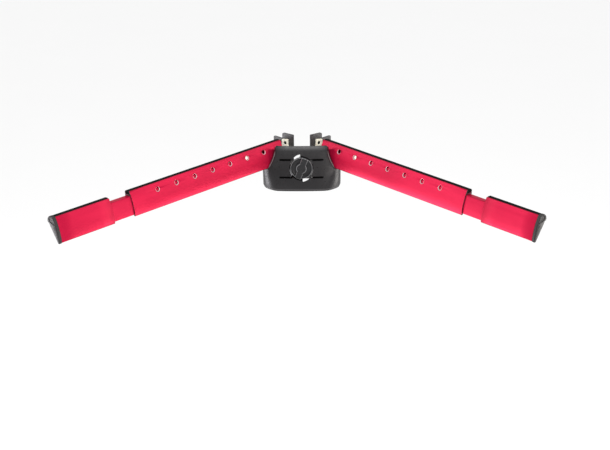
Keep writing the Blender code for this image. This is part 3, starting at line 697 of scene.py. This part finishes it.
# ---- bracket: front shield ----
# Each level is a height and half an outline (x, y), from the middle of the face round to the side.
LEVELS = [
    (-13.6, [(0, -57.2), (14, -57.0), (28, -56.4), (37.6, -55.4), (42.4, -53.6), (49.4, -47.8),
             (54.0, -42.8), (56.2, -37.5), (56.6, -29.0), (56.6, -20)]),
    (-12.4, [(0, -58.0), (14, -57.8), (28, -57.1), (38.2, -56.0), (43.6, -54.1), (51.0, -47.9),
             (56.2, -42.3), (58.4, -37.1), (58.8, -29.0), (58.8, -20)]),
    (-8.0, [(0, -58.3), (14, -58.1), (28, -57.4), (39.2, -56.1), (45.2, -53.9), (52.6, -47.7),
            (58.0, -41.7), (60.4, -36.9), (60.8, -29.0), (60.8, -20)]),
    (-2.0, [(0, -58.2), (14, -58.0), (29, -57.2), (40.4, -55.7), (46.8, -53.4), (54.0, -47.5),
            (58.8, -41.8), (60.6, -37.0), (60.9, -29.0), (60.9, -20)]),
    (8.0, [(0, -57.2), (15, -57.0), (30, -56.2), (42, -54.6), (49.2, -52.4), (55.6, -47.4),
           (59.7, -42.0), (60.8, -37.0), (60.8, -29.0), (60.8, -20.0)]),
    (20.6, [(0, -55.0), (15, -54.8), (30, -54.1), (44, -53.0), (52.0, -51.8), (57.2, -48.0),
            (60.0, -43.0), (61.0, -38.0), (61.0, -29.0), (61.0, -20.0)]),
    (27.0, [(0, -53.2), (15, -53.0), (29, -52.4), (41, -51.4), (47.2, -50.2), (49.6, -47.6),
            (50.3, -44.0), (50.4, -38.0), (50.4, -29.0), (50.4, -20.0)]),
    (38.0, [(0, -50.0), (14, -49.8), (27, -49.2), (37, -48.2), (42.2, -46.8), (44.2, -44.2),
            (44.8, -41.0), (44.9, -36.0), (44.9, -28.0), (44.9, -18.0)]),
    (48.0, [(0, -46.4), (14, -46.2), (26, -45.6), (35.4, -44.6), (40.0, -43.2), (41.9, -40.8),
            (42.5, -38.0), (42.6, -33.0), (42.6, -26.0), (42.6, -16.0)]),
    (54.4, [(0, -43.8), (14, -43.6), (25, -43.0), (34.4, -42.0), (38.8, -40.6), (40.8, -38.4),
            (41.5, -36.0), (41.6, -31.0), (41.6, -24.0), (41.6, -14.0)]),
    (55.6, [(0, -42.6), (14, -42.4), (25, -41.8), (34.0, -40.8), (38.2, -39.5), (40.0, -37.6),
            (40.7, -35.4), (40.8, -31.0), (40.8, -24.0), (40.8, -14.0)]),
]


def shield_skin():
    """Shell through the levels, with extra columns between their points, mirrored in the middle."""
    bm = bmesh.new()
    rows = []
    for z, half in LEVELS:
        front = spline(half[:4], 3)
        rear = []
        for a, b in zip(half[3:], half[4:]):
            rear += [a, ((a[0] + b[0]) / 2, (a[1] + b[1]) / 2)]
        dense = front[:-1] + rear + [half[-1]]
        full = [(-x, y) for x, y in reversed(dense[1:])] + dense
        rows.append([bm.verts.new((x, y, z)) for x, y in full])
    for low, high in zip(rows, rows[1:]):
        for i in range(len(low) - 1):
            bm.faces.new((low[i], low[i + 1], high[i + 1], high[i]))
    skin = bpy.data.objects.new("skin", to_mesh(bm))
    bpy.context.scene.collection.objects.link(skin)
    mod = skin.modifiers.new("wall", "SOLIDIFY")
    mod.thickness = SKIN_T * MM
    mod.offset = -1.0
    mod.use_even_offset = True
    bpy.context.view_layer.update()
    mesh = bpy.data.meshes.new_from_object(
        skin.evaluated_get(bpy.context.evaluated_depsgraph_get()))
    bpy.data.objects.remove(skin, do_unlink=True)
    return mesh


def capsule(x0, x1, z, half, y0, y1):
    """Round-ended slot cutter along X, between y0 and y1."""
    loop = []
    for middle, start in ((x0 + half, math.pi / 2), (x1 - half, -math.pi / 2)):
        loop += [(middle + half * math.cos(a), z + half * math.sin(a))
                 for a in (start + math.pi * i / 8 for i in range(9))]
    return prism(loop, y1 - y0, face_on(y0))


shield = put("shield", shield_skin(), [SHIELD, INNER_SHADE], sharp=24)
# The shield keeps a little clear of the arms' inner faces, and nothing of it lies outside them.
CLEAR = [(-7.6, 17.0), (-3.85, 8.0), (-3.1, 6.2), (-1.9, 3.3), (-0.6, 0.3), (0.6, -2.9),
         (1.8, -6.5), (2.9, -10.2), (3.9, -14.0), (4.75, -18.0), (5.35, -21.5), (5.6, -24.4),
         (5.3, -26.4), (4.2, -27.3), (-60.0, -27.3), (-60.0, 17.0)]
for side, tag in SIDES:
    cut(shield, "clear_" + tag, arm_prism(side, CLEAR, *ARM_WAY), SHIELD)
# Its top slopes down towards the back: an outline in Y and Z, cut right across.
HORNS = [(-39.4, 62.0), (-39.4, 53.8), (-14.0, 34.0), (4.0, 34.0), (4.0, 62.0)]
ACROSS = Matrix(((0, 0, 1, -75), (1, 0, 0, 0), (0, 1, 0, 0), (0, 0, 0, 1)))
cut(shield, "horns", prism(HORNS, 150.0, ACROSS), SHIELD)

# The shield's cuts and parts from here on carry the darker inner plastic, which is painted shade.
# Oval opening, flattened at its top right and bottom left to follow the knob.
rim = []
for step in range(OVAL_STEPS):
    a = 2 * math.pi * (step + 0.37) / OVAL_STEPS
    reach = 1 / math.hypot(math.cos(a) / OVAL_X, math.sin(a) / OVAL_Z)
    if 48 < math.degrees(a) % 180 < 94:
        reach = min(reach, OVAL_NEAR)
    rim.append((reach * math.cos(a), reach * math.sin(a)))
cut(shield, "oval", prism(rim, 35.0, face_on(-70.0, KNOB_Z)), INNER_SHADE)

# Behind the knob: two spokes, a hub ring for the stud, webs at their ends, and two bridges.
join(shield, "spokes", boxed((-30, -46.4, SPOKE[0]), (30, -42.4, SPOKE[1])), INNER_SHADE)
join(shield, "hub_ring", turned([(0, -8.5), (7.5, -8.5), (7.5, -1.1), (0, -1.1)], AXIS, FRONT, 48),
     INNER_SHADE)
join(shield, "webs", gather([
    boxed((x - 2, -52.2, SPOKE[0] - 0.5), (x + 2, -43.0, SPOKE[1] + 0.5)) for x in (-28.2, 28.2)]),
    INNER_SHADE)
BRIDGE = [(-1.6, 0.0), (-1.6, 25.0), (18.0, 19.0), (13.0, 11.0), (9.0, 0.0)]
for turn, tag in ((1, "upper"), (-1, "lower")):
    loop = [(x * turn, z * turn) for x, z in BRIDGE]
    join(shield, "bridge_" + tag, prism(loop, 3.6, face_on(-46.3, KNOB_Z)), INNER_SHADE)
cut(shield, "stud_way", turned([(0, -20), (3.2, -20), (3.2, 12), (0, 12)], AXIS, FRONT, 40), INNER_SHADE)

# Screw bosses: the lower pair starts a little further forward.
bosses = []
for x, z in BOSSES:
    front = 0 if z > 0 else -2.0
    bosses.append(turned([(0, BOSS_LENGTH), (3.6, BOSS_LENGTH), (3.6, front), (0, front)],
                         (x, BOSS_Y, z), BACK, 32))
join(shield, "bosses", gather(bosses), INNER_SHADE)
cut(shield, "boss_ways", gather([
    turned([(0, 0), (1.4, 0), (1.4, 22), (0, 22)], (x, -43.0, z), BACK, 24) for x, z in BOSSES]),
    INNER_SHADE)

# Four slots across the face, an upper and a lower pair, each with a rib behind it.
ribs, grooves = [], []
for z, y_rib, y_back, y_floor in ((35.2, -48.2, -44.4, -45.6), (8.6, -54.6, -50.4, -51.8)):
    for x0, x1 in ((-35.0, -17.0), (17.0, 35.0)):
        ribs.append(boxed((x0, y_rib, z - 3.0), (x1, y_back, z + 2.2)))
    for x0, x1 in ((-34.4, -14.2), (14.2, 34.4)):
        grooves.append(capsule(x0, x1, z, 1.5, -75.0, y_floor))
join(shield, "ribs", gather(ribs), INNER_SHADE)
cut(shield, "grooves", gather(grooves), INNER_SHADE)
stands_for(ease(shield, 0.55, 3, 30.0), "bracket", "grey_plastic", "front_shell")


# ---- bracket: rear saddle ----
SEAT = [(-14.0, -10.0), (14.0, -10.0), (14.0, 20.6), (6.4, 20.6), (6.4, 8.6), (-6.4, 8.6),
        (-6.4, 20.6), (-14.0, 20.6)]
TALL = rounded([(-18.6, -58.4), (6.4, -58.4), (6.4, -40), (3.9, -32), (3.9, 13.4), (1.3, 13.4),
                (-18.6, 13.4), (-18.6, 4.2), (-34.0, 5.2), (-36.6, 4.9), (-36.6, 1.2),
                (-36.6, -26.0), (-18.6, -34.0), (-18.6, -46.0)],
               [0, 0, 0, 0, 3.2, 0, 3.4, 2.4, 1.2, 3.2, 0, 3.0, 2.0, 1.0], 5)
OUTER = [(-20.7, -50.0), (-17.8, -50.0), (-17.8, 2.6), (-20.7, 2.6)]
BASE = [(-19.2, -30.6), (7.4, -30.6), (7.4, -27.5), (-19.2, -27.5)]
saddle = put("saddle", prism(SEAT, 4.0, face_on(0.0, 0.0, -1)), [SADDLE], sharp=30)
away = put("seat_clear", boxed((-13.7, -0.4, -30), (13.7, 14, 24)), [SADDLE], True)
for side, tag in SIDES:
    # A wall across the arm's end, kept clear of the seat, then an outer wall, a floor and an ear.
    tall = put("tall_" + tag, arm_prism(side, TALL, *END_WALL), [SADDLE], True)
    boolean(tall, "DIFFERENCE", away)
    boolean(saddle, "UNION", tall)
    join(saddle, "far_" + tag, arm_prism(side, OUTER, *OUTER_WALL), SADDLE)
    join(saddle, "floor_" + tag, arm_prism(side, BASE, *ARM_FLOOR), SADDLE)
    x0, x1 = sorted((side * 25.5, side * 36.5))
    join(saddle, "ear_" + tag, boxed((x0, -27.0, -10.0), (x1, -23.8, 19.0)), SADDLE)
    cut(saddle, "root_way_" + tag, turned([(0, -8), (1.6, -8), (1.6, 3), (0, 3)],
                                          arm_at(side, 28.0, *EYE),
                                          arm_way(side, 0.0, 0.0, 1.0), 28), SADDLE)
cut(saddle, "ear_ways", gather([
    turned([(0, 0), (1.8, 0), (1.8, 11), (0, 11)], (x, -30.0, z), BACK, 24) for x, z in BOSSES]),
    SADDLE)
stands_for(ease(saddle, 0.4, 2, 40.0), "bracket", "grey_plastic", "rear_saddle")


# ---- knob ----
knob = put("knob_disc", turned([
    (3.15, -0.6), (7.7, -0.6), (8.0, -0.3), (8.0, 0.4), (16.2, 0.4), (16.9, 0.6), (17.3, 1.2),
    (17.4, 1.9), (17.4, 3.9), (17.2, 4.4), (16.8, 4.7), (16.2, 4.7), (15.8, 4.5), (15.5, 3.9),
    (15.2, 3.2), (14.6, 2.8), (12.0, 2.6), (9.0, 2.6), (3.15, 2.6)], AXIS, FRONT, 96),
    [KNOB, KNOB_EDGE_HIGHLIGHT])


def from_axis(poly):
    """Distance of a face's centre from the knob's axis, in millimetres."""
    return math.hypot(poly.center.x, poly.center.z - KNOB_Z * MM) / MM


# The crest of the rim gets a painted highlight line.
for poly in knob.data.polygons:
    if 16.0 < from_axis(poly) < 17.1 and poly.center.y < AXIS.y * MM - 4.3 * MM:
        poly.material_index = 1
TILT = Matrix.Translation(AXIS) @ Matrix.Rotation(GRIP_TILT, 4, "Y")
grip = rounded([(-17.2, -5.0), (17.2, -5.0), (17.2, 5.0), (-17.2, 5.0)], 1.4, 4)
bar = put("grip_bar", chamfered(grip, 5.2, 0.8, TILT @ face_on(-2.0, 0.0, -1)),
          [KNOB, KNOB_EDGE_HIGHLIGHT], True)
for poly in bar.data.polygons:
    # Only the chamfer's faces lean, and they carry the painted highlight.
    poly.material_index = int(0.2 < abs(poly.normal.y) < 0.9)
boss = put("grip_hub", turned([(0, 2.0), (8.3, 2.0), (8.1, 7.2), (7.7, 7.7), (7.0, 7.8), (4.6, 7.8),
                               (4.2, 7.3), (0, 7.3)], AXIS, FRONT, 72), [KNOB, KNOB_EDGE_HIGHLIGHT], True)
for poly in boss.data.polygons:
    # Its painted edge highlight shows only beside the grip bar.
    beside = (TILT.inverted() @ (poly.center / MM)).z
    poly.material_index = int(7.2 < from_axis(poly) < 8.2 and 0.2 < abs(poly.normal.y) < 0.99
                              and abs(beside) > 4.4)
boolean(knob, "UNION", bar)
boolean(knob, "UNION", boss)
scallops = []
for i in range(SCALLOP_COUNT):
    a = 2 * math.pi * i / SCALLOP_COUNT
    middle = AXIS + Vector((SCALLOP_REACH * math.cos(a), 0, SCALLOP_REACH * math.sin(a)))
    scallops.append(turned([(0, -1), (SCALLOP_R, -1), (SCALLOP_R, 8), (0, 8)], middle, FRONT, 16))
cut(knob, "scallops", gather(scallops), KNOB)
# The rounded edges take material index 1, the painted highlight.
stands_for(ease(knob, 0.60, 3, 40.0, 1), "clamp_knob", "knob_plastic", "knob")

# ---- CAD nodes that stay: small fasteners and the hidden clamp ----
KEEP = {"clamp_stud": ZINC, "stud_washer": ZINC, "clamp_bar": ZINC, "slide_guide_left": NYLON,
        "slide_guide_right": NYLON, "root_screw_left": BLACKED, "root_screw_right": BLACKED}
for level in ("upper", "lower"):
    for tag in ("left", "right"):
        KEEP["shell_screw_%s_%s" % (level, tag)] = ZINC
for name, mat in KEEP.items():
    node = bpy.data.objects[name]
    node.data.materials.clear()
    node.data.materials.append(mat)

for tool in list(TOOLS.objects):
    bpy.data.objects.remove(tool, do_unlink=True)
bpy.data.collections.remove(TOOLS)


# ---- stage, light, camera ----
def pale(name, value):
    n = Nodes(name)
    cloud = n.noise(n.coords(), 3.0, 3.0)
    colour = n.ramp(cloud, [(0.3, (value * 0.995,) * 3), (0.7, (value,) * 3)])
    return n.finish(colour, 0.9, None, Specular_IOR_Level=0.1)


GROUND_AT, GROUND_HALF = (0.0, 4.0, -0.95), 14.0
bm = bmesh.new()
bmesh.ops.create_grid(bm, x_segments=8, y_segments=8, size=1.0)
bmesh.ops.transform(bm, matrix=Matrix.Translation(GROUND_AT) @ Matrix.Scale(GROUND_HALF, 4),
                    verts=bm.verts)
floor = bpy.data.objects.new("floor", to_mesh(bm, 1.0))
bpy.context.scene.collection.objects.link(floor)
floor.data.materials.append(pale("pale_floor", 0.92))

world = bpy.data.worlds.new("studio")
bpy.context.scene.world = world
world.use_nodes = True
world.node_tree.nodes["Background"].inputs["Color"].default_value = (1.0, 1.0, 1.0, 1.0)
world.node_tree.nodes["Background"].inputs["Strength"].default_value = 0.60
bpy.context.scene.view_settings.view_transform = "Standard"


def panel_light(name, at, target, size, power, colour=(1, 1, 1)):
    data = bpy.data.lights.new(name, "AREA")
    data.shape = "RECTANGLE"
    data.size, data.size_y = size
    data.energy = power
    data.color = colour
    lamp = bpy.data.objects.new(name, data)
    bpy.context.scene.collection.objects.link(lamp)
    lamp.location = at
    lamp.rotation_euler = (Vector(target) - Vector(at)).to_track_quat("-Z", "Y").to_euler()


def sun(name, towards, strength, spread):
    data = bpy.data.lights.new(name, "SUN")
    data.energy = strength
    data.angle = math.radians(spread)
    lamp = bpy.data.objects.new(name, data)
    bpy.context.scene.collection.objects.link(lamp)
    lamp.rotation_euler = Vector(towards).to_track_quat("-Z", "Y").to_euler()


sun("key", (0.0, 0.62, -0.90), 1.60, 50.0)
panel_light("front", (0.0, -1.55, 1.90), (0.0, -0.1, 0.0), (1.4, 0.8), 19.0)
panel_light("left_side", (-1.6, 0.05, 0.42), (0.10, -0.12, 0.03), (1.2, 0.7), 7.0, (0.97, 0.96, 1))
panel_light("right_side", (1.6, 0.05, 0.42), (-0.10, -0.12, 0.03), (1.2, 0.7), 6.5, (1, 0.98, 0.96))
panel_light("left_low", (-1.45, 0.0, -0.47), (-0.05, -0.04, 0.0), (0.7, 0.6), 14.0, (0.97, 0.95, 1))
panel_light("right_low", (1.45, 0.0, -0.47), (0.05, -0.04, 0.0), (0.7, 0.6), 10.0, (1, 0.96, 0.93))
panel_light("right_glow", (0.85, -1.85, 0.25), (0.03, -0.05, 0.02), (0.4, 0.8), 8.0, (1, 0.94, 0.91))

# Camera: looks down by ELEVATION from in front, a little to the right and slightly rolled.
CAMERA_AT = (0.053188, -2.101659, 0.674745)
AZIMUTH, ELEVATION, ROLL = math.radians(1.36), math.radians(20.0), math.radians(-0.67)
camera = bpy.data.objects.new("camera", bpy.data.cameras.new("camera"))
camera.data.sensor_width = 36.0
camera.data.lens = 81.64
camera.data.clip_end = 60.0
camera.matrix_world = (Matrix.Translation(CAMERA_AT) @ Matrix.Rotation(AZIMUTH, 4, "Z")
                       @ Matrix.Rotation(math.pi / 2 - ELEVATION, 4, "X")
                       @ Matrix.Rotation(ROLL, 4, "Z"))
bpy.context.scene.collection.objects.link(camera)
bpy.context.scene.camera = camera

bpy.context.view_layer.update()
